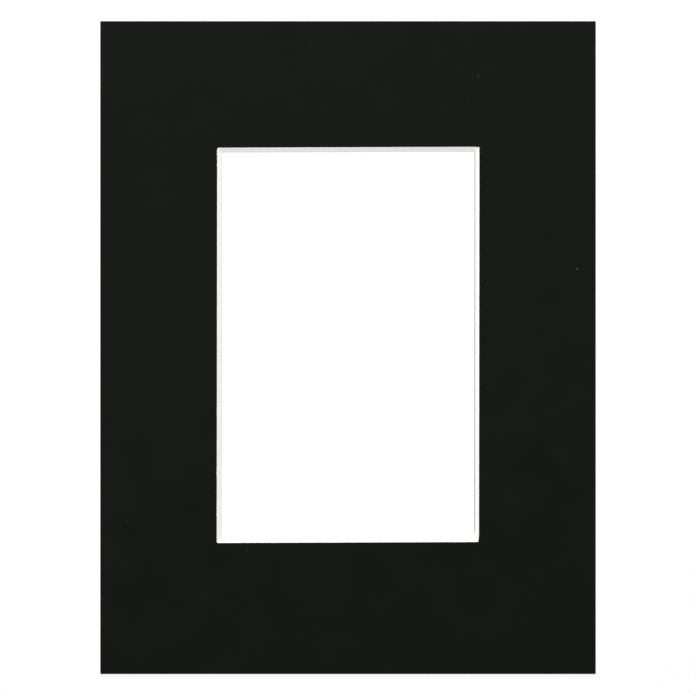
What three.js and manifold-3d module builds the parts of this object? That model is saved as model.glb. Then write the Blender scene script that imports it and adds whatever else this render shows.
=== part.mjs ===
// A picture mount: a sheet of white-cored mount board with a black face paper,
// and a window cut through it with a bevelled edge, which shows the white core.
// It lies flat with its face up: X is its width, Y its height, Z its thickness.
// The origin is the middle of the back, on the surface that the mount lies on.
import * as THREE from "three";
import { mergeVertices } from "three/addons/utils/BufferGeometryUtils.js";
import Module from "manifold-3d";

const wasm = await Module();
wasm.setup();

// Sizes in millimetres.
const boardWidth = 180;
const boardHeight = 237.2;
const coreThickness = 1.65;
const facePaperThickness = 0.15;

// The black margins on the face, from the board's edges to the middle of each cut.
const leftMargin = 42.25;
const rightMargin = 42.2;
const topMargin = 45.65;
const bottomMargin = 47.65;

// The window is a hair out of square. Its top and bottom cuts climb this much
// from left to right, and the tops of its side cuts lie this much to the right.
const crossCutClimb = 0.34;
const sideCutShift = 0.16;

// The knife leans this far from upright, so the window is smaller at the back.
const bevelAngle = THREE.MathUtils.degToRad(45);

// How far the cutting form runs past the face and the back.
const knifeOverrun = 1;

const boardThickness = coreThickness + facePaperThickness;
const windowWidth = boardWidth - leftMargin - rightMargin;
const windowHeight = boardHeight - topMargin - bottomMargin;
const crossCutSlope = crossCutClimb / windowWidth;
const sideCutSlope = sideCutShift / windowHeight;

const blackSurfacePaper = new THREE.MeshStandardMaterial({
  color: 0x1c1e1b,
  roughness: 0.92,
  metalness: 0,
});
const whiteSolidCore = new THREE.MeshStandardMaterial({
  color: 0xf1f1ee,
  roughness: 0.88,
  metalness: 0,
});

// Where a side cut, x from the middle, meets a cross cut, y from the middle.
function cutCorner(x, y, height) {
  const cornerX = (x + sideCutSlope * y) / (1 - sideCutSlope * crossCutSlope);
  return new THREE.Vector3(cornerX, y + crossCutSlope * cornerX, height);
}

// The window's corners at a height above the back, counter-clockwise from the lower left.
function windowCorners(height) {
  const lean = (boardThickness - height) * Math.tan(bevelAngle);
  const left = -boardWidth / 2 + leftMargin + lean;
  const right = boardWidth / 2 - rightMargin - lean;
  const bottom = -boardHeight / 2 + bottomMargin + lean;
  const top = boardHeight / 2 - topMargin - lean;
  return [
    cutCorner(left, bottom, height),
    cutCorner(right, bottom, height),
    cutCorner(right, top, height),
    cutCorner(left, top, height),
  ];
}

// A solid with four corners below and four above, each list counter-clockwise.
function formBetween(lower, upper) {
  const corners = [...lower, ...upper];
  const faces = [
    [0, 3, 2, 1],
    [4, 5, 6, 7],
    [0, 1, 5, 4],
    [1, 2, 6, 5],
    [2, 3, 7, 6],
    [3, 0, 4, 7],
  ];
  const geometry = new THREE.BufferGeometry().setFromPoints(corners);
  geometry.setIndex(faces.flatMap(([a, b, c, d]) => [a, b, c, a, c, d]));
  return geometry;
}

// The space that the leaning knife takes out of the board.
function windowForm() {
  return formBetween(
    windowCorners(-knifeOverrun),
    windowCorners(boardThickness + knifeOverrun),
  );
}

// A full sheet of one ply, with its underside at the given height.
function fullSheet(thickness, underside) {
  const outline = new THREE.Shape()
    .moveTo(-boardWidth / 2, -boardHeight / 2)
    .lineTo(boardWidth / 2, -boardHeight / 2)
    .lineTo(boardWidth / 2, boardHeight / 2)
    .lineTo(-boardWidth / 2, boardHeight / 2)
    .closePath();
  const sheet = new THREE.ExtrudeGeometry(outline, {
    depth: thickness,
    bevelEnabled: false,
  });
  return sheet.translate(0, 0, underside);
}

function solidFrom(geometry) {
  const bare = geometry.clone();
  bare.deleteAttribute("normal");
  bare.deleteAttribute("uv");
  const merged = mergeVertices(bare);
  return new wasm.Manifold(
    new wasm.Mesh({
      numProp: 3,
      vertProperties: merged.attributes.position.array,
      triVerts: new Uint32Array(merged.index.array),
    }),
  );
}

function geometryFrom(solid) {
  const { vertProperties, triVerts } = solid.getMesh();
  const geometry = new THREE.BufferGeometry();
  geometry.setAttribute("position", new THREE.BufferAttribute(vertProperties, 3));
  geometry.setIndex(new THREE.BufferAttribute(triVerts, 1));
  const flat = geometry.toNonIndexed();
  flat.computeVertexNormals();
  return flat;
}

// One ply of the board with the window cut through it.
function cutPly(name, thickness, underside, material) {
  const sheet = solidFrom(fullSheet(thickness, underside));
  const ply = new THREE.Mesh(
    geometryFrom(sheet.subtract(solidFrom(windowForm()))),
    material,
  );
  ply.name = name;
  return ply;
}

const pictureMount = new THREE.Group();
pictureMount.add(cutPly("core_board", coreThickness, 0, whiteSolidCore));
pictureMount.add(
  cutPly("face_paper", facePaperThickness, coreThickness, blackSurfacePaper),
);

export default pictureMount;
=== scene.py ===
# Black picture mount with a white bevelled window, lying flat on a white table, seen from above.
# Lengths in the dictionaries are in millimetres, and places on the mount are from its middle.
import math

import bpy
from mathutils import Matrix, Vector


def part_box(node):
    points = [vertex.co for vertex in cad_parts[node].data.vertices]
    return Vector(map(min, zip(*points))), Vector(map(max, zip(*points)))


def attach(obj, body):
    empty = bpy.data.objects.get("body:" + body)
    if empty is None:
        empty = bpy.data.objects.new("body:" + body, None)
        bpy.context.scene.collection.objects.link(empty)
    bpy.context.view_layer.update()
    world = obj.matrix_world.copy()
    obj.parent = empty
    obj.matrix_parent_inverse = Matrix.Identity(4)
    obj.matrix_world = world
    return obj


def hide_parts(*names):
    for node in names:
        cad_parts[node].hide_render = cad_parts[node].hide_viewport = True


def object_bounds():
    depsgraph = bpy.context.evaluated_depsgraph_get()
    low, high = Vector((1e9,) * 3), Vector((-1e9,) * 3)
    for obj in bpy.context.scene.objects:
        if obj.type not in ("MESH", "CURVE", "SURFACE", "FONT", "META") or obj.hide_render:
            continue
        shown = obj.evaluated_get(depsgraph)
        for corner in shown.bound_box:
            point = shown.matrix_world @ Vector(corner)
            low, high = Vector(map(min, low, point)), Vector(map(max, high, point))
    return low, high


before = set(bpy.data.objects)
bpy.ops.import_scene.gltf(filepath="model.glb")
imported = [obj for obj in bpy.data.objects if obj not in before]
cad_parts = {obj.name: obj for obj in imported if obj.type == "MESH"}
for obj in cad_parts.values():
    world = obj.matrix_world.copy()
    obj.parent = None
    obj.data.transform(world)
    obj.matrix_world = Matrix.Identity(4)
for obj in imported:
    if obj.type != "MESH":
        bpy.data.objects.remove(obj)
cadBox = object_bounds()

mm = 0.001
cornerSigns = ((-1, -1), (1, -1), (1, 1), (-1, 1))  # from the lower left, counter-clockwise
maths = "ShaderNodeMath"
vectors = "ShaderNodeVectorMath"
switches = "GeometryNodeIndexSwitch"
cutStep = 1000.0  # in cutRun, from the start of one cut to the start of the next


def linearColour(hexCode):
    # sRGB hex, as a paint program shows it, to the linear values that a shader works in
    channels = [int(hexCode[start:start + 2], 16) / 255 for start in (1, 3, 5)]
    bent = [c / 12.92 if c <= 0.04045 else ((c + 0.055) / 1.055) ** 2.4 for c in channels]
    return (*bent, 1.0)


def addNode(tree, kind, links=None, stops=(), **settings):
    # links gives an input a number, a socket, or a node whose first live output is meant; stops are
    # a ramp's places, each with its sRGB colour
    node = tree.nodes.new(kind)
    for name, value in settings.items():
        setattr(node, name, value)
    for number, (place, hexCode) in enumerate(stops):
        node.color_ramp.elements[number].position = place
        node.color_ramp.elements[number].color = linearColour(hexCode)
    if kind == switches:  # which has two items to choose from until it gets more
        while len(node.index_switch_items) < len(links) - 1:
            node.index_switch_items.new()
    for key, value in (links or {}).items():
        live = [s for s in node.inputs if s.enabled]
        socket = node.inputs[key] if isinstance(key, int) else next(s for s in live if s.name == key)
        if isinstance(value, bpy.types.Node):
            value = next(s for s in value.outputs if s.enabled)
        if isinstance(value, bpy.types.NodeSocket):
            tree.links.new(value, socket)
        else:
            socket.default_value = value
    return node


def addFormula(tree, known, rows):
    # a row is a new name, the kind of node, its operation (a switch's kind of value), and what it
    # works on, by name or as it is
    for name, kind, choice, *inputs in rows:
        named = [known[i] if isinstance(i, str) else i for i in inputs]
        links = {place: value for place, value in enumerate(named) if value is not None}
        setting = "data_type" if kind == switches else "operation"
        known[name] = addNode(tree, kind, links, **{setting: choice})


# The finishes

def newMaterial(name):
    material = bpy.data.materials.new(name)
    material.use_nodes = True
    material.node_tree.nodes.clear()
    return material, material.node_tree


def placeInMm(tree):
    place = addNode(tree, "ShaderNodeTexCoord").outputs["Object"]
    return addNode(tree, vectors, {0: place, 3: 1 / mm}, operation="SCALE")


def blended(tree, first, second, secondShare):
    # two patterns from 0 to 1 as one of the same range
    part = addNode(tree, maths, {0: first, 1: 1 - secondShare}, operation="MULTIPLY")
    return addNode(tree, maths, {0: second, 1: secondShare, 2: part}, operation="MULTIPLY_ADD")


blackPaper = {
    "dye": ((0.36, "#0f110f"), (0.66, "#121410")),  # the sheet, and where the pulp took less dye
    "dust": "#8f918d",
    "cloud": 16.0,  # across one cloud of uneven dye
    "fibre": 0.9,  # length of the matted fibres, drawn a little long so that they show
    "fibreShare": 0.4,
    "tooth": 0.34,  # across one grain of the surface, drawn coarse so that it shows
    "relief": 0.12,
    "dustRelief": 0.5,
    "shine": 0.035,
    "roughness": 0.62,  # a soft sheen, which pales towards the lamp
}

# Dust motes that the photo shows: place, half width, and how pale each looks
dustMotes = (
    ((83.2, 28.6), 0.19, 0.85),
    ((-36.7, -73.6), 0.15, 0.70),
    ((47.3, 98.7), 0.15, 0.60),
    ((-80.3, -63.7), 0.13, 0.55),
    ((43.6, 89.9), 0.12, 0.50),
)

# a mote's outline in half widths: how far the tooth moves it, where it fades, and where it ends
moteOutline = {"ragged": 1.4, "solid": 0.9, "gone": 1.9}


def dustOn(tree, inMm, tooth):
    # each mote is a spot whose edge the tooth makes ragged
    apart = addNode(tree, "ShaderNodeSeparateXYZ", {0: inMm})
    flat = addNode(tree, "ShaderNodeCombineXYZ", {0: apart.outputs["X"], 1: apart.outputs["Y"]})
    dust = 0.0
    for (x, y), reach, pale in dustMotes:
        away = addNode(tree, vectors, {0: flat, 1: (x, y, 0)}, operation="DISTANCE")
        ragged = addNode(tree, maths, {
            0: tooth, 1: reach * moteOutline["ragged"], 2: away,
        }, operation="MULTIPLY_ADD")
        spot = addNode(tree, "ShaderNodeMapRange", {
            "Value": ragged, "From Min": reach * moteOutline["solid"],
            "From Max": reach * moteOutline["gone"], "To Min": pale, "To Max": 0.0,
        })
        dust = addNode(tree, maths, {0: dust, 1: spot}, operation="MAXIMUM")
    return dust


def blackSurfacePaper():
    # Dyed-through surface paper, pressed but not glazed: flat near-black, a little warm and green,
    # with a fine tooth and faint clouds in the dye, and here and there a pale mote of dust.
    material, tree = newMaterial("blackSurfacePaper")
    inMm = placeInMm(tree)
    clouds = addNode(tree, "ShaderNodeTexNoise", {
        "Vector": inMm, "Scale": 1 / blackPaper["cloud"], "Detail": 4.0, "Roughness": 0.6,
    })
    fibres = addNode(tree, "ShaderNodeTexNoise", {
        "Vector": inMm, "Scale": 1 / blackPaper["fibre"], "Detail": 5.0, "Roughness": 0.65,
        "Distortion": 1.2,
    })
    tooth = addNode(tree, "ShaderNodeTexNoise", {
        "Vector": inMm, "Scale": 1 / blackPaper["tooth"], "Detail": 3.0, "Roughness": 0.55,
    })
    uneven = blended(tree, clouds, fibres, blackPaper["fibreShare"])
    dye = addNode(tree, "ShaderNodeValToRGB", {"Fac": uneven}, stops=blackPaper["dye"])
    dust = dustOn(tree, inMm, tooth)
    dusted = addNode(tree, "ShaderNodeMix", {
        "Factor": dust, "A": dye, "B": linearColour(blackPaper["dust"]),
    }, data_type="RGBA")
    grain = addNode(tree, maths, {0: fibres, 1: tooth}, operation="ADD")
    height = addNode(tree, maths, {
        0: dust, 1: blackPaper["dustRelief"], 2: grain,
    }, operation="MULTIPLY_ADD")
    bump = addNode(tree, "ShaderNodeBump", {
        "Height": height, "Strength": 0.8, "Distance": blackPaper["relief"] * mm,
    })
    shader = addNode(tree, "ShaderNodeBsdfPrincipled", {
        "Base Color": dusted, "Normal": bump, "Roughness": blackPaper["roughness"],
        "Specular IOR Level": blackPaper["shine"],
    })
    addNode(tree, "ShaderNodeOutputMaterial", {"Surface": shader})
    return material


cutBlack = {
    "dye": ((0.3, "#0f110f"), (0.7, "#1c1e1b")),  # the sheet, and the torn ends of its fibres
    "fibre": 0.12,
    "relief": 0.03,
    "shine": 0.035,
    "roughness": 0.97,
}


def blackPaperCutEdge():
    # The same paper where blade and guillotine went through it: a shade paler and rougher.
    material, tree = newMaterial("blackPaperCutEdge")
    fuzz = addNode(tree, "ShaderNodeTexNoise", {
        "Vector": placeInMm(tree), "Scale": 1 / cutBlack["fibre"], "Detail": 4.0, "Roughness": 0.7,
    })
    dye = addNode(tree, "ShaderNodeValToRGB", {"Fac": fuzz}, stops=cutBlack["dye"])
    bump = addNode(tree, "ShaderNodeBump", {
        "Height": fuzz, "Strength": 0.5, "Distance": cutBlack["relief"] * mm,
    })
    shader = addNode(tree, "ShaderNodeBsdfPrincipled", {
        "Base Color": dye, "Normal": bump, "Roughness": cutBlack["roughness"],
        "Specular IOR Level": cutBlack["shine"],
    })
    addNode(tree, "ShaderNodeOutputMaterial", {"Surface": shader})
    return material


whiteCore = {
    "pulp": ((0.34, "#ecece8"), (0.58, "#f7f7f4")),  # the hollows between fibres, and the fibres
    "streakLength": 9.0,  # along the cut
    "streakWidth": 0.11,  # down the cut
    "fibre": 0.22,
    "fibreShare": 0.4,
    "hairline": "#dededa",  # where two sheets of the core are pasted together
    "hairlineHeights": (0.62, 1.14),
    "hairlineHalf": 0.035,
    "hairlineShow": 0.55,
    "footLine": "#8e8e8b",  # a grey line along the foot of each cut wall
    "footLineHeight": 0.30,
    "footLineWander": 0.10,
    "footLineBlur": 0.12,
    # how strong that line is along each cut: the window's below, right, above and left, then the outer
    # edges
    "footLineShow": (0.0, 0.85, 0.12, 0.20, 0.15, 0.15, 0.15, 0.15),
    "footLineStart": 1001.2,  # by cutRun: the line begins a little way up the right-hand cut
    "footLineFull": 1002.6,
    "relief": 0.03,
    "shine": 0.3,
    "roughness": 0.9,
}


def footLineShare(tree, run, height, fibres):
    # cutRun, as wrapGrid marks it, counts millimetres along a cut, and a cutStep more for each cut
    # after the first. The last step of a cut runs up to the next one's start and is still its own,
    # so a cut reaches from just before its start to 0.95 of a cutStep past it.
    lowest = whiteCore["footLineHeight"]
    wandering = addNode(tree, maths, {
        0: fibres, 1: whiteCore["footLineWander"], 2: height,
    }, operation="MULTIPLY_ADD")
    foot = addNode(tree, "ShaderNodeMapRange", {
        "Value": wandering, "From Min": lowest, "From Max": lowest + whiteCore["footLineBlur"],
        "To Min": 1.0, "To Max": 0.0,
    })
    begun = addNode(tree, "ShaderNodeMapRange", {
        "Value": run, "From Min": whiteCore["footLineStart"], "From Max": whiteCore["footLineFull"],
    })
    cut = addNode(tree, maths, {0: run, 1: 1 / cutStep}, operation="MULTIPLY")
    shown = 0.0
    for number, show in enumerate(whiteCore["footLineShow"]):
        isCut = addNode(tree, maths, {0: cut, 1: number + 0.45, 2: 0.5}, operation="COMPARE")
        shown = addNode(tree, maths, {0: isCut, 1: show, 2: shown}, operation="MULTIPLY_ADD")
    share = addNode(tree, maths, {0: foot, 1: shown}, operation="MULTIPLY")
    return addNode(tree, maths, {0: share, 1: begun}, operation="MULTIPLY")


def whiteCoreCut():
    # Cotton-white core board where it is cut: matte, with fine streaks that the blade left along its
    # way, hairlines between the pasted sheets, and a grey line along the foot, stronger on some cuts.
    material, tree = newMaterial("whiteCoreCut")
    inMm = placeInMm(tree)
    height = addNode(tree, "ShaderNodeSeparateXYZ", {0: inMm}).outputs["Z"]
    run = addNode(tree, "ShaderNodeAttribute", attribute_name="cutRun").outputs["Fac"]
    along = addNode(tree, maths, {0: run, 1: 1 / whiteCore["streakLength"]}, operation="MULTIPLY")
    down = addNode(tree, maths, {0: height, 1: 1 / whiteCore["streakWidth"]}, operation="MULTIPLY")
    streakPlace = addNode(tree, "ShaderNodeCombineXYZ", {0: along, 1: down})
    streaks = addNode(tree, "ShaderNodeTexNoise", {
        "Vector": streakPlace, "Scale": 1.0, "Detail": 4.0, "Roughness": 0.6,
    })
    fibres = addNode(tree, "ShaderNodeTexNoise", {
        "Vector": inMm, "Scale": 1 / whiteCore["fibre"], "Detail": 4.0, "Roughness": 0.6,
        "Distortion": 0.8,
    })
    grain = blended(tree, streaks, fibres, whiteCore["fibreShare"])
    colour = addNode(tree, "ShaderNodeValToRGB", {"Fac": grain}, stops=whiteCore["pulp"])
    for level in whiteCore["hairlineHeights"]:
        isNear = addNode(tree, maths, {
            0: height, 1: level, 2: whiteCore["hairlineHalf"],
        }, operation="COMPARE")
        faint = addNode(tree, maths, {0: isNear, 1: whiteCore["hairlineShow"]}, operation="MULTIPLY")
        colour = addNode(tree, "ShaderNodeMix", {
            "Factor": faint, "A": colour, "B": linearColour(whiteCore["hairline"]),
        }, data_type="RGBA")
    colour = addNode(tree, "ShaderNodeMix", {
        "Factor": footLineShare(tree, run, height, fibres), "A": colour,
        "B": linearColour(whiteCore["footLine"]),
    }, data_type="RGBA")
    bump = addNode(tree, "ShaderNodeBump", {
        "Height": grain, "Strength": 0.35, "Distance": whiteCore["relief"] * mm,
    })
    shader = addNode(tree, "ShaderNodeBsdfPrincipled", {
        "Base Color": colour, "Normal": bump, "Roughness": whiteCore["roughness"],
        "Specular IOR Level": whiteCore["shine"],
    })
    addNode(tree, "ShaderNodeOutputMaterial", {"Surface": shader})
    return material


backPaper = {
    "pulp": ((0.36, "#e2e2dd"), (0.62, "#ededea")),
    "cloud": 9.0,
    "fibre": 0.7,
    "fibreShare": 0.5,
    "relief": 0.03,
    "shine": 0.3,
    "roughness": 0.92,
}


def whiteBackPaper():
    # The thin uncoated paper on the back: off-white and even, with short fibres lying every way.
    material, tree = newMaterial("whiteBackPaper")
    inMm = placeInMm(tree)
    clouds = addNode(tree, "ShaderNodeTexNoise", {
        "Vector": inMm, "Scale": 1 / backPaper["cloud"], "Detail": 6.0, "Roughness": 0.65,
    })
    fibres = addNode(tree, "ShaderNodeTexNoise", {
        "Vector": inMm, "Scale": 1 / backPaper["fibre"], "Detail": 5.0, "Roughness": 0.6,
        "Distortion": 1.6,
    })
    bump = addNode(tree, "ShaderNodeBump", {
        "Height": fibres, "Strength": 0.3, "Distance": backPaper["relief"] * mm,
    })
    mottled = blended(tree, clouds, fibres, backPaper["fibreShare"])
    paper = addNode(tree, "ShaderNodeValToRGB", {"Fac": mottled}, stops=backPaper["pulp"])
    shader = addNode(tree, "ShaderNodeBsdfPrincipled", {
        "Base Color": paper, "Normal": bump, "Roughness": backPaper["roughness"],
        "Specular IOR Level": backPaper["shine"],
    })
    addNode(tree, "ShaderNodeOutputMaterial", {"Surface": shader})
    return material


# The two plies of the board, each a ring swept round the window by one node tree

# What the tree is told: counts, lengths, shares and materials
plyInputs = {
    "crossCutSteps": "NodeSocketInt",  # along the top and the bottom
    "sideCutSteps": "NodeSocketInt",  # along each side
    "rowsEdge": "NodeSocketInt",  # up the outer edge
    "rowsFace": "NodeSocketInt",  # from the outer edge to the window, above
    "rowsBevel": "NodeSocketInt",  # down the bevel
    "rowsUnder": "NodeSocketInt",  # and back below
    "rimRows": "NodeSocketInt",  # close rows beside each edge of the face and the underside
    "rimWidth": "NodeSocketFloat",
    "cornerGather": "NodeSocketFloat",  # how far the columns gather towards the corners
    "waveLength": "NodeSocketFloat",
    "waveDepth": "NodeSocketFloat",  # how far the cuts wander to either side
    "outerWave": "NodeSocketFloat",  # the outer edge's part of the waves
    "rollWidth": "NodeSocketFloat",  # beside an edge, where the surface bends
    "outerDrop": "NodeSocketFloat",  # of the top at the outer edge
    "outerRise": "NodeSocketFloat",  # of the underside at the outer edge
    "windowDrop": "NodeSocketFloat",  # of the top at the window
    "nickShare": "NodeSocketFloat",  # how much of the nicks' depth this ply takes
    "fuzzDepth": "NodeSocketFloat",  # how far the fibres stand out of a cut
    "seed": "NodeSocketFloat",  # the same in both plies, so that they waver as one
    "faceFinish": "NodeSocketMaterial",
    "cutFinish": "NodeSocketMaterial",
    "underFinish": "NodeSocketMaterial",
}

plyShares = ("cornerGather", "outerWave", "nickShare", "seed")  # plain numbers, not lengths

corePly = {
    "crossCutSteps": 420, "sideCutSteps": 600,
    "rowsEdge": 8, "rowsFace": 8, "rowsBevel": 9, "rowsUnder": 9,
    "rimRows": 3, "rimWidth": 0.5, "cornerGather": 0.4,
    "waveLength": 7.0, "waveDepth": 0.045, "outerWave": 0.25,
    "rollWidth": 0.35, "outerDrop": 0.0, "outerRise": 0.07, "windowDrop": 0.0,
    "nickShare": 0.0, "fuzzDepth": 0.012, "seed": 3.0,
}

facePly = {
    "crossCutSteps": 420, "sideCutSteps": 600,
    "rowsEdge": 2, "rowsFace": 18, "rowsBevel": 2, "rowsUnder": 8,
    "rimRows": 3, "rimWidth": 0.45, "cornerGather": 0.4,
    "waveLength": 7.0, "waveDepth": 0.045, "outerWave": 0.25,
    "rollWidth": 0.35, "outerDrop": 0.05, "outerRise": 0.0, "windowDrop": 0.015,
    "nickShare": 0.55, "fuzzDepth": 0.006, "seed": 3.0,
}

# What the knife and the paper do alike in both plies
cutHabits = {
    "waveGrain": 3.0,  # levels of detail in a wave
    "fineScale": 9.0,  # fine fibres to one wave
    "fineGrain": 4.0,
    "tearUneven": 1.6,  # how far a nick follows the fine fibres
    "tearLeast": 0.2,  # and how much of it there is anyway
    "fuzzScale": (400, 1.7, 9),  # streaks for each metre of cut, each row and each side
    "fuzzGrain": 3.0,
    "leastLeg": 10.0,  # the bevel counts as this wide, so that the outer roll doesn't reach it
    "mergeReach": 0.003,
    "arrisAngle": 30.0,  # degrees; an edge sharper than this is drawn crisp
}

# How the knife left each corner of the window, from the lower left round: how far the corner is
# pulled across the opening, and over what length of cut it comes back to the line.
knifeCorners = (
    ((0.16, 0.16), 0.7),  # stopped short, so the corner is a little round
    ((-0.28, 0.03), 3.0),  # the right-hand cut drifted inwards just before it met the lower one
    ((-0.05, -0.12), 3.4),  # the upper cut dips at its end
    ((0.15, -0.15), 0.65),  # round, as the first
)
outerCorners = ((0.06, 0.06), (-0.06, 0.06), (-0.06, -0.06), (0.06, -0.06))  # blunted by handling
outerCornerReach = 0.5

# Where the black paper tore instead of being cut: side (0 below, 1 right, 2 above, 3 left), the
# place along it counter-clockwise from its corner, and the nick's half width and depth.
paperNicks = (
    (3, 1.35, 0.42, 0.20),
    (3, 2.30, 0.35, 0.18),
    (3, 4.05, 0.40, 0.10),
    (3, 6.20, 0.45, 0.13),
    (3, 117.0, 0.55, 0.12),
    (3, 118.6, 0.70, 0.15),
    (3, 131.2, 0.45, 0.13),
    (3, 132.4, 0.40, 0.10),
    (3, 133.6, 0.55, 0.14),
    (2, 62.0, 0.80, 0.05),
    (1, 96.0, 0.90, 0.05),
)

cornerSearch = {"levelSlack": 0.01, "leastMargin": 1.0}  # a window's corner is at least a margin inside


def cageOf(nodeName):
    # The ply's corners as the CAD has them, four to a ring: outer edge below and above, then the
    # window above and below. The knife's pull and its reach ride on them.
    points = [v.co.copy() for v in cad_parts[nodeName].data.vertices]
    low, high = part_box(nodeName)
    corners, pulls, reaches = [], [], []
    for level, isWindow in ((low[2], False), (high[2], False), (high[2], True), (low[2], True)):
        ring = []
        for point in points:
            margin = min(high[0] - abs(point.x), high[1] - abs(point.y))
            isInside = margin > cornerSearch["leastMargin"] * mm
            if abs(point.z - level) < cornerSearch["levelSlack"] * mm and isInside == isWindow:
                ring.append(point)
        for turn, (sideways, upwards) in enumerate(cornerSigns):
            corners.append(max(ring, key=lambda p: p.x * sideways + p.y * upwards))
            pull, reach = knifeCorners[turn] if isWindow else (outerCorners[turn], outerCornerReach)
            pulls.append(Vector((*pull, 0)) * mm)
            reaches.append(reach * mm)
    mesh = bpy.data.meshes.new(nodeName + "_cage")
    mesh.from_pydata(corners, [], [])
    mesh.attributes.new("pull", "FLOAT_VECTOR", "POINT")
    mesh.attributes.new("reach", "FLOAT", "POINT")
    for index, (pull, reach) in enumerate(zip(pulls, reaches)):
        mesh.attributes["pull"].data[index].vector = pull
        mesh.attributes["reach"].data[index].value = reach
    return mesh


def newPlyTree():
    # the tree with its sockets, and what it is given by name
    tree = bpy.data.node_groups.new("cutPly", "GeometryNodeTree")
    tree.interface.new_socket(name="corners", in_out="INPUT", socket_type="NodeSocketGeometry")
    for name, kind in plyInputs.items():
        tree.interface.new_socket(name=name, in_out="INPUT", socket_type=kind)
    tree.interface.new_socket(name="ply", in_out="OUTPUT", socket_type="NodeSocketGeometry")
    given = tree.nodes.new("NodeGroupInput").outputs
    return tree, {name: given[name] for name in ("corners", *plyInputs)}


def countGrid(tree, known):
    # A grid is wrapped into a ring: its columns go round the window and its rows round the section.
    known["gridPlace"] = addNode(tree, "GeometryNodeInputPosition")
    apart = addNode(tree, "ShaderNodeSeparateXYZ", {0: known["gridPlace"]})
    known["gridX"], known["gridY"] = apart.outputs["X"], apart.outputs["Y"]
    addFormula(tree, known, (
        ("halfway", maths, "ADD", "crossCutSteps", "sideCutSteps"),
        ("lastCorner", maths, "ADD", "halfway", "crossCutSteps"),
        ("columns", maths, "MULTIPLY", "halfway", 2.0),
        ("columnHere", maths, "MULTIPLY_ADD", "gridX", "columns", "halfway"),
        ("columnOpen", maths, "ROUND", "columnHere"),
        ("column", maths, "FLOORED_MODULO", "columnOpen", "columns"),
        ("columnPast", maths, "ADD", "column", 0.5),
        ("bevelStart", maths, "ADD", "rowsEdge", "rowsFace"),
        ("underStart", maths, "ADD", "bevelStart", "rowsBevel"),
        ("rows", maths, "ADD", "underStart", "rowsUnder"),
        ("halfRows", maths, "MULTIPLY", "rows", 0.5),
        ("rowHere", maths, "MULTIPLY_ADD", "gridY", "rows", "halfRows"),
        ("rowOpen", maths, "ROUND", "rowHere"),
        ("row", maths, "FLOORED_MODULO", "rowOpen", "rows"),
        ("rowPast", maths, "ADD", "row", 0.5),
        ("gridColumns", maths, "ADD", "columns", 1.0),
        ("gridRows", maths, "ADD", "rows", 1.0),
    ))
    # A side is 0 below, 1 right, 2 above, 3 left, and a leg is 0 edge, 1 face, 2 bevel, 3 underside.
    # A column or row on a border belongs to the side or leg that begins there. faceLeg is the leg of
    # a grid face, whose middle lies half a row on.
    for name, past, starts in (
        ("side", "columnPast", ("crossCutSteps", "halfway", "lastCorner")),
        ("leg", "rowPast", ("rowsEdge", "bevelStart", "underStart")),
        ("faceLeg", "rowHere", ("rowsEdge", "bevelStart", "underStart")),
    ):
        first, second, third = [name + " past " + start for start in starts]
        addFormula(tree, known, (
            (first, maths, "GREATER_THAN", past, starts[0]),
            (second, maths, "GREATER_THAN", past, starts[1]),
            (third, maths, "GREATER_THAN", past, starts[2]),
            (name + " twice", maths, "ADD", first, second),
            (name, maths, "ADD", name + " twice", third),
        ))
    sideCounts = ("crossCutSteps", "sideCutSteps", "crossCutSteps", "sideCutSteps")
    addFormula(tree, known, (
        ("sideStart", switches, "FLOAT", "side", 0.0, "crossCutSteps", "halfway", "lastCorner"),
        ("sideSteps", switches, "FLOAT", "side", *sideCounts),
        ("legStart", switches, "FLOAT", "leg", 0.0, "rowsEdge", "bevelStart", "underStart"),
        ("legRows", switches, "FLOAT", "leg", "rowsEdge", "rowsFace", "rowsBevel", "rowsUnder"),
        ("outward", switches, "VECTOR", "side", (0, -1, 0), (1, 0, 0), (0, 1, 0), (-1, 0, 0)),
    ))


def placeColumns(tree, known):
    # how far along its side a column is, with the columns gathered a little towards the corners
    addFormula(tree, known, (
        ("sideRun", maths, "SUBTRACT", "column", "sideStart"),
        ("sideShare", maths, "DIVIDE", "sideRun", "sideSteps"),
        ("turn", maths, "MULTIPLY", "sideShare", math.pi),
        ("swing", maths, "COSINE", "turn"),
        ("gathered", maths, "MULTIPLY_ADD", "swing", -0.5, 0.5),
        ("evenPart", maths, "SUBTRACT", 1.0, "cornerGather"),
        ("even", maths, "MULTIPLY", "sideShare", "evenPart"),
        ("along", maths, "MULTIPLY_ADD", "gathered", "cornerGather", "even"),
        ("alongLeft", maths, "SUBTRACT", 1.0, "along"),
        ("sideAfter", maths, "ADD", "side", 1.0),
        ("nextSide", maths, "FLOORED_MODULO", "sideAfter", 4.0),
        ("legAfter", maths, "ADD", "leg", 1.0),
        ("nextLeg", maths, "FLOORED_MODULO", "legAfter", 4.0),
    ))
    # the point on each ring of corners that this column passes
    for ring, number in (("near", "leg"), ("far", "nextLeg"), ("rim", 1.0), ("window", 2.0)):
        addFormula(tree, known, (
            (ring + " first", maths, "MULTIPLY", number, 4.0),
            (ring + " a", maths, "ADD", ring + " first", "side"),
            (ring + " b", maths, "ADD", ring + " first", "nextSide"),
        ))
        for end in (" a", " b"):
            known[ring + end + " corner"] = addNode(tree, "GeometryNodeSampleIndex", {
                "Geometry": known["corners"], "Value": known["gridPlace"], "Index": known[ring + end],
            }, data_type="FLOAT_VECTOR", domain="POINT")
        known[ring + " point"] = addNode(tree, "ShaderNodeMix", {
            "Factor": known["along"], "A": known[ring + " a corner"], "B": known[ring + " b corner"],
        }, data_type="VECTOR")
    addFormula(tree, known, (
        ("rim length", vectors, "DISTANCE", "rim a corner", "rim b corner"),
        ("window length", vectors, "DISTANCE", "window a corner", "window b corner"),
        ("windowRun", maths, "MULTIPLY", "window length", "along"),
    ))


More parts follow.
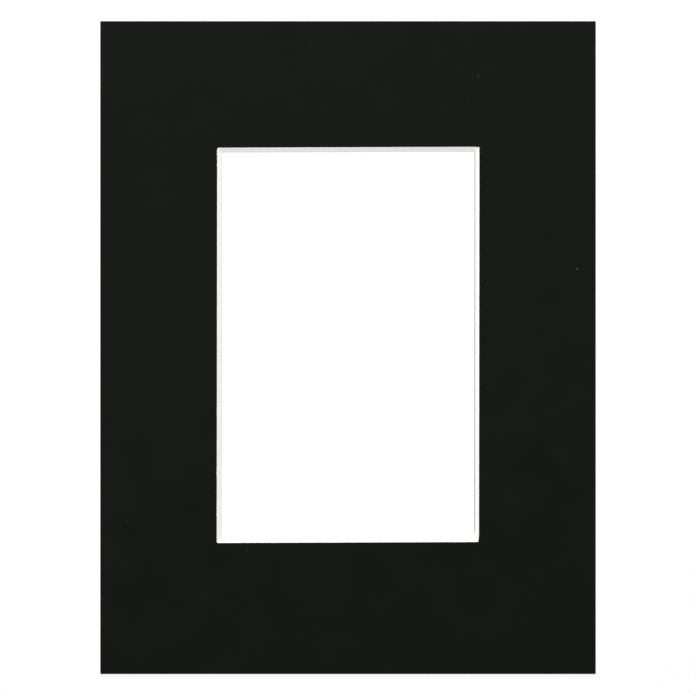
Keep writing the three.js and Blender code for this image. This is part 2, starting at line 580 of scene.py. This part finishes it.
def placeRows(tree, known):
    # how far across its leg a row is: rows lie close in the rims beside an edge, and wide between
    addFormula(tree, known, (
        ("span", vectors, "DISTANCE", "near point", "far point"),
        ("legRun", maths, "SUBTRACT", "row", "legStart"),
        ("rimStep", maths, "DIVIDE", "rimWidth", "rimRows"),
        ("midRows", maths, "MULTIPLY_ADD", "rimRows", -2.0, "legRows"),
        ("midSpan", maths, "MULTIPLY_ADD", "rimWidth", -2.0, "span"),
        ("midStep", maths, "DIVIDE", "midSpan", "midRows"),
        ("firstRows", maths, "MINIMUM", "legRun", "rimRows"),
        ("pastRim", maths, "SUBTRACT", "legRun", "rimRows"),
        ("midReached", maths, "MAXIMUM", "pastRim", 0.0),
        ("midRun", maths, "MINIMUM", "midReached", "midRows"),
        ("pastMid", maths, "SUBTRACT", "pastRim", "midRows"),
        ("lastRows", maths, "MAXIMUM", "pastMid", 0.0),
        ("closeRows", maths, "ADD", "firstRows", "lastRows"),
        ("closeReach", maths, "MULTIPLY", "closeRows", "rimStep"),
        ("reachAcross", maths, "MULTIPLY_ADD", "midRun", "midStep", "closeReach"),
        ("wideShare", maths, "DIVIDE", "reachAcross", "span"),
        ("evenShare", maths, "DIVIDE", "legRun", "legRows"),
        ("isWide", maths, "FLOORED_MODULO", "leg", 2.0),
        ("difference", maths, "SUBTRACT", "wideShare", "evenShare"),
        ("across", maths, "MULTIPLY_ADD", "difference", "isWide", "evenShare"),
        ("acrossLeft", maths, "SUBTRACT", 1.0, "across"),
        ("windowShare", switches, "FLOAT", "leg", 0.0, "across", 1.0, "acrossLeft"),
        ("outerShare", maths, "SUBTRACT", 1.0, "windowShare"),
        ("topShare", switches, "FLOAT", "leg", "across", 1.0, "acrossLeft", 0.0),
        ("bottomShare", maths, "SUBTRACT", 1.0, "topShare"),
    ))
    known["sheet"] = addNode(tree, "ShaderNodeMix", {
        "Factor": known["across"], "A": known["near point"], "B": known["far point"],
    }, data_type="VECTOR")


def pullCorners(tree, known):
    # corners, where the knife or the guillotine left the line
    cornerFields = []
    for name, kind in (("pull", "FLOAT_VECTOR"), ("reach", "FLOAT")):
        field = addNode(tree, "GeometryNodeInputNamedAttribute", {"Name": name}, data_type=kind)
        cornerFields.append((name, kind, field))
    shifts = []
    for ring, share in (("rim", "outerShare"), ("window", "windowShare")):
        for end, run in ((" a", "along"), (" b", "alongLeft")):
            corner = ring + end
            for name, kind, field in cornerFields:
                known[corner + " " + name] = addNode(tree, "GeometryNodeSampleIndex", {
                    "Geometry": known["corners"], "Value": field, "Index": known[corner],
                }, data_type=kind, domain="POINT")
            addFormula(tree, known, (
                (corner + " run", maths, "MULTIPLY", ring + " length", run),
                (corner + " part", maths, "DIVIDE", corner + " run", corner + " reach"),
                (corner + " near", maths, "SUBTRACT", 1.0, corner + " part"),
                (corner + " held", maths, "MAXIMUM", corner + " near", 0.0),
                (corner + " eased", maths, "POWER", corner + " held", 2.0),
                (corner + " here", maths, "MULTIPLY", corner + " eased", share),
                (corner + " shift", vectors, "SCALE", corner + " pull", None, None, corner + " here"),
            ))
            shifts.append(corner + " shift")
    return shifts


def waverCuts(tree, known):
    # the cut wanders a little; both plies read the same place, so they stay flush
    addFormula(tree, known, (
        ("waveScale", maths, "DIVIDE", 1.0, "waveLength"),
        ("flatRim", vectors, "MULTIPLY", "rim point", (1, 1, 0)),
        ("seedStep", vectors, "SCALE", (0, 0, 1), None, None, "seed"),
        ("waveAt", vectors, "SCALE", "flatRim", None, None, "waveScale"),
        ("wavePlace", vectors, "ADD", "waveAt", "seedStep"),
    ))
    known["waves"] = addNode(tree, "ShaderNodeTexNoise", {
        "Vector": known["wavePlace"], "Scale": 1.0, "Detail": cutHabits["waveGrain"],
    }).outputs["Color"]
    known["fine"] = addNode(tree, "ShaderNodeTexNoise", {
        "Vector": known["wavePlace"], "Scale": cutHabits["fineScale"], "Detail": cutHabits["fineGrain"],
    })
    addFormula(tree, known, (
        ("waveCentred", vectors, "SUBTRACT", "waves", (0.5, 0.5, 0.5)),
        ("waveFlat", vectors, "MULTIPLY", "waveCentred", (2, 2, 0)),
        ("outerPart", maths, "MULTIPLY", "outerShare", "outerWave"),
        ("wavePart", maths, "ADD", "outerPart", "windowShare"),
        ("waveReach", maths, "MULTIPLY", "waveDepth", "wavePart"),
        ("waveShift", vectors, "SCALE", "waveFlat", None, None, "waveReach"),
    ))
    return ["waveShift"]


def tearNicks(tree, known):
    # nicks, where the paper's edge draws back from the window and bares the core
    known["torn 0"] = 0.0
    for number, (side, place, halfWidth, depth) in enumerate(paperNicks):
        tag = " of nick %d" % number
        before, after = "torn %d" % number, "torn %d" % (number + 1)
        addFormula(tree, known, (
            ("off" + tag, maths, "SUBTRACT", "windowRun", place * mm),
            ("part" + tag, maths, "DIVIDE", "off" + tag, halfWidth * mm),
            ("bowl" + tag, maths, "MULTIPLY", "part" + tag, "part" + tag),
            ("dip" + tag, maths, "SUBTRACT", 1.0, "bowl" + tag),
            ("held" + tag, maths, "MAXIMUM", "dip" + tag, 0.0),
            ("onSide" + tag, maths, "COMPARE", "side", float(side), 0.5),
            ("sized" + tag, maths, "MULTIPLY", "onSide" + tag, depth * mm),
            (after, maths, "MULTIPLY_ADD", "held" + tag, "sized" + tag, before),
        ))
    addFormula(tree, known, (
        ("ragged", maths, "MULTIPLY_ADD", "fine", cutHabits["tearUneven"], cutHabits["tearLeast"]),
        ("tornRagged", maths, "MULTIPLY", "torn %d" % len(paperNicks), "ragged"),
        ("tornHere", maths, "MULTIPLY", "tornRagged", "windowShare"),
        ("tearBack", maths, "MULTIPLY", "tornHere", "nickShare"),
        ("nickShift", vectors, "SCALE", "outward", None, None, "tearBack"),
    ))
    return ["nickShift"]


def roughenCuts(tree, known):
    # fibre fuzz on the cut walls, which dies out at their arrises
    known["streakPlace"] = addNode(tree, "ShaderNodeCombineXYZ", {
        0: known["windowRun"], 1: known["row"], 2: known["side"],
    })
    addFormula(tree, known, (
        ("streakAt", vectors, "MULTIPLY", "streakPlace", cutHabits["fuzzScale"]),
    ))
    known["streaks"] = addNode(tree, "ShaderNodeTexNoise", {
        "Vector": known["streakAt"], "Scale": 1.0, "Detail": cutHabits["fuzzGrain"],
    })
    # the arch across a wall rises to a quarter and the noise to a half, so 8 makes their product 1
    addFormula(tree, known, (
        ("inward", vectors, "SCALE", "outward", None, None, -1.0),
        ("bevelLean", vectors, "ADD", "inward", (0, 0, 1)),
        ("bevelOut", vectors, "SCALE", "bevelLean", None, None, math.sqrt(0.5)),
        ("wallOut", switches, "VECTOR", "leg", "outward", (0, 0, 0), "bevelOut", (0, 0, 0)),
        ("arch", maths, "MULTIPLY", "across", "acrossLeft"),
        ("streakCentred", maths, "SUBTRACT", "streaks", 0.5),
        ("streakArch", maths, "MULTIPLY", "streakCentred", "arch"),
        ("streakFull", maths, "MULTIPLY", "streakArch", 8.0),
        ("fuzz", maths, "MULTIPLY", "streakFull", "fuzzDepth"),
        ("fuzzShift", vectors, "SCALE", "wallOut", None, None, "fuzz"),
    ))
    return ["fuzzShift"]


def rollArrises(tree, known):
    # the face dips towards its edges, and the underside lifts at the outer one
    addFormula(tree, known, (
        ("clearSpan", maths, "MAXIMUM", "span", cutHabits["leastLeg"] * mm),
        ("fromOuter", maths, "MULTIPLY", "windowShare", "clearSpan"),
        ("fromWindow", maths, "MULTIPLY", "outerShare", "clearSpan"),
    ))
    for edge in ("Outer", "Window"):
        addFormula(tree, known, (
            ("part" + edge, maths, "DIVIDE", "from" + edge, "rollWidth"),
            ("left" + edge, maths, "SUBTRACT", 1.0, "part" + edge),
            ("held" + edge, maths, "MAXIMUM", "left" + edge, 0.0),
            ("roll" + edge, maths, "POWER", "held" + edge, 2.0),
        ))
    addFormula(tree, known, (
        ("dropOuter", maths, "MULTIPLY", "rollOuter", "outerDrop"),
        ("dropBoth", maths, "MULTIPLY_ADD", "rollWindow", "windowDrop", "dropOuter"),
        ("drop", maths, "MULTIPLY", "dropBoth", "topShare"),
        ("riseOuter", maths, "MULTIPLY", "rollOuter", "outerRise"),
        ("rise", maths, "MULTIPLY", "riseOuter", "bottomShare"),
        ("lift", maths, "SUBTRACT", "rise", "drop"),
        ("rollShift", vectors, "SCALE", (0, 0, 1), None, None, "lift"),
    ))
    return ["rollShift"]


def wrapGrid(tree, known, shifts):
    # the grid with its marks, moved into a closed ring
    # cutRun is the place along a cut in mm, and a cutStep more for each cut after the first: 0 to 3
    # round the window and 4 to 7 round the outside, in the order of the sides; the last column lies
    # on the first, and counts as the start of a fifth side
    addFormula(tree, known, (
        ("isOuter", maths, "COMPARE", "leg", 0.0, 0.5),
        ("isLast", maths, "COMPARE", "columnOpen", "columns", 0.5),
        ("sideOpen", maths, "MULTIPLY_ADD", "isLast", 4.0, "side"),
        ("cut", maths, "MULTIPLY_ADD", "isOuter", 4.0, "sideOpen"),
        ("runInMm", maths, "MULTIPLY", "windowRun", 1 / mm),
        ("cutRun", maths, "MULTIPLY_ADD", "cut", cutStep, "runInMm"),
    ))
    place = "sheet"
    for shift in shifts:
        addFormula(tree, known, ((place + " + " + shift, vectors, "ADD", place, shift),))
        place = place + " + " + shift
    grid = addNode(tree, "GeometryNodeMeshGrid", {
        "Size X": 1.0, "Size Y": 1.0,
        "Vertices X": known["gridColumns"], "Vertices Y": known["gridRows"],
    }).outputs["Mesh"]
    marked = addNode(tree, "GeometryNodeStoreNamedAttribute", {
        "Geometry": grid, "Name": "cutRun", "Value": known["cutRun"],
    }, data_type="FLOAT", domain="CORNER")
    marked = addNode(tree, "GeometryNodeStoreNamedAttribute", {
        "Geometry": marked, "Name": "leg", "Value": known["faceLeg"],
    }, data_type="INT", domain="FACE")
    wrapped = addNode(tree, "GeometryNodeSetPosition", {"Geometry": marked, "Position": known[place]})
    return addNode(tree, "GeometryNodeMergeByDistance", {
        "Geometry": wrapped, "Distance": cutHabits["mergeReach"] * mm,
    })


def finishRing(tree, known, closed):
    # smooth but for the arrises, with a material for each leg
    smooth = addNode(tree, "GeometryNodeSetShadeSmooth", {"Geometry": closed, "Shade Smooth": True})
    edgeAngle = addNode(tree, "GeometryNodeInputMeshEdgeAngle").outputs["Unsigned Angle"]
    isArris = addNode(tree, maths, {
        0: edgeAngle, 1: math.radians(cutHabits["arrisAngle"]),
    }, operation="GREATER_THAN")
    crisp = addNode(tree, "GeometryNodeSetShadeSmooth", {
        "Geometry": smooth, "Selection": isArris, "Shade Smooth": False,
    }, domain="EDGE")
    real = addNode(tree, "GeometryNodeRealizeInstances", {"Geometry": crisp})
    finished = addNode(tree, "GeometryNodeSetMaterial", {
        "Geometry": real, "Material": known["cutFinish"],
    })
    legHere = addNode(tree, "GeometryNodeInputNamedAttribute", {"Name": "leg"}, data_type="INT")
    for number, finish in ((1, "faceFinish"), (3, "underFinish")):
        isLeg = addNode(tree, maths, {0: legHere, 1: float(number), 2: 0.5}, operation="COMPARE")
        finished = addNode(tree, "GeometryNodeSetMaterial", {
            "Geometry": finished, "Selection": isLeg, "Material": known[finish],
        })
    return finished


def cutPlyTree():
    tree, known = newPlyTree()
    countGrid(tree, known)
    placeColumns(tree, known)
    placeRows(tree, known)
    shifts = []
    for addShifts in (pullCorners, waverCuts, tearNicks, roughenCuts, rollArrises):
        shifts += addShifts(tree, known)
    finished = finishRing(tree, known, wrapGrid(tree, known, shifts))
    output = tree.nodes.new("NodeGroupOutput")
    tree.links.new(finished.outputs["Geometry"], output.inputs["ply"])
    return tree


def makePly(tree, nodeName, pieceName, sizes, finishes):
    ply = bpy.data.objects.new(pieceName, cageOf(nodeName))
    bpy.context.scene.collection.objects.link(ply)
    wrap = ply.modifiers.new("cutPly", "NODES")
    wrap.node_group = tree
    for socket in tree.interface.items_tree:
        if socket.in_out == "INPUT" and socket.name in sizes:
            value = sizes[socket.name]
            isLength = socket.socket_type == "NodeSocketFloat" and socket.name not in plyShares
            wrap[socket.identifier] = value * mm if isLength else value
        elif socket.in_out == "INPUT" and socket.name in finishes:
            wrap[socket.identifier] = finishes[socket.name]
    seen = bpy.context.evaluated_depsgraph_get()
    plain = bpy.data.meshes.new_from_object(
        ply.evaluated_get(seen), preserve_all_data_layers=True, depsgraph=seen)
    ply.modifiers.remove(wrap)
    ply.data = plain
    plain.name = pieceName
    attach(ply, "root")
    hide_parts(nodeName)
    print(pieceName, len(plain.vertices), "vertices", len(plain.polygons), "faces")
    return ply


def makeMount():
    tree = cutPlyTree()
    coreCut, coreBack = whiteCoreCut(), whiteBackPaper()
    blackFace, blackCut = blackSurfacePaper(), blackPaperCutEdge()
    core = makePly(tree, "core_board", "white_core_board", corePly,
                   {"faceFinish": coreCut, "cutFinish": coreCut, "underFinish": coreBack})
    face = makePly(tree, "face_paper", "black_face_paper", facePly,
                   {"faceFinish": blackFace, "cutFinish": blackCut, "underFinish": blackCut})


# The table, light and camera

studio = {
    "tableSize": 3000.0,
    "tableDrop": 0.02,  # below the back, so that the two never lie in one plane
    "tableGrey": 0.97,  # how much of its light the table gives back
    "white": "#ffffff",
    "tableGlow": 0.85,  # how much of the table's white the camera gets without light
    "lampFrom": (-0.15, 0.50, 0.85),  # direction from the mount to the softbox: upper left
    "lampAway": 1000.0,
    "lampSize": 370.0,
    "lampPower": 7.4,  # watts
    "skyStrength": 0.52,
}


def seenStraight(tree):
    # 1 where the camera, or a mirror or glass before it, looks at the surface
    path = addNode(tree, "ShaderNodeLightPath")
    glossy = addNode(tree, maths, {
        0: path.outputs["Is Camera Ray"], 1: path.outputs["Is Glossy Ray"],
    }, operation="MAXIMUM")
    return addNode(tree, maths, {0: glossy, 1: path.outputs["Is Transmission Ray"]}, operation="MAXIMUM")


def makeTable():
    half = studio["tableSize"] * mm / 2
    level = -studio["tableDrop"] * mm
    mesh = bpy.data.meshes.new("whiteTable")
    mesh.from_pydata([(x * half, y * half, level) for x, y in cornerSigns], [], [(0, 1, 2, 3)])
    table = bpy.data.objects.new("whiteTable", mesh)
    bpy.context.scene.collection.objects.link(table)
    material, tree = newMaterial("whiteTableTop")
    grey = studio["tableGrey"]
    paint = addNode(tree, "ShaderNodeBsdfDiffuse", {"Color": (grey, grey, grey, 1.0)})
    glow = addNode(tree, "ShaderNodeEmission", {"Color": linearColour(studio["white"]), "Strength": 1.0})
    share = addNode(tree, maths, {0: seenStraight(tree), 1: studio["tableGlow"]}, operation="MULTIPLY")
    mixed = addNode(tree, "ShaderNodeMixShader", {0: share, 1: paint, 2: glow})
    addNode(tree, "ShaderNodeOutputMaterial", {"Surface": mixed})
    mesh.materials.append(material)


def makeLight():
    towards = Vector(studio["lampFrom"]).normalized()
    lamp = bpy.data.lights.new("softbox", "AREA")
    lamp.shape = "SQUARE"
    lamp.size = studio["lampSize"] * mm
    lamp.energy = studio["lampPower"]
    softbox = bpy.data.objects.new("softbox", lamp)
    softbox.location = towards * studio["lampAway"] * mm
    softbox.rotation_euler = towards.to_track_quat("Z", "Y").to_euler()
    bpy.context.scene.collection.objects.link(softbox)

    world = bpy.data.worlds.new("paleRoom")
    bpy.context.scene.world = world
    world.use_nodes = True
    tree = world.node_tree
    tree.nodes.clear()
    white = linearColour(studio["white"])
    sky = addNode(tree, "ShaderNodeBackground", {"Color": white, "Strength": studio["skyStrength"]})
    backdrop = addNode(tree, "ShaderNodeBackground", {"Color": white, "Strength": 1.0})
    mixed = addNode(tree, "ShaderNodeMixShader", {0: seenStraight(tree), 1: sky, 2: backdrop})
    addNode(tree, "ShaderNodeOutputWorld", {"Surface": mixed})


photo = {
    "frame": 696.0,  # pixels across and down
    "boardWidth": 495.5,  # pixels
    "boardMiddle": (348.0, 347.6),
    "cameraAway": 900.0,  # the picture is all but flat, as from a long lens
    "nearest": 10.0,  # what the camera still shows
    "sensor": 36.0,
}


def makeCamera():
    low, high = cadBox
    width = high[0] - low[0]
    pixel = width / photo["boardWidth"]  # metres on the mount's face
    away = photo["cameraAway"] * mm
    camera = bpy.data.cameras.new("copyStand")
    camera.sensor_width = photo["sensor"]
    camera.lens = photo["sensor"] * away / (photo["frame"] * pixel)
    camera.clip_start = photo["nearest"] * mm
    stand = bpy.data.objects.new("copyStand", camera)
    middleX, middleY = photo["boardMiddle"]
    offX = (photo["frame"] / 2 - middleX) * pixel
    offY = (middleY - photo["frame"] / 2) * pixel
    stand.location = (offX, offY, high[2] + away)
    bpy.context.scene.collection.objects.link(stand)
    bpy.context.scene.camera = stand


makeCamera()
makeMount()
print("mount made")
makeTable()
makeLight()
bpy.context.scene.view_settings.view_transform = "Standard"
print("table and light made")
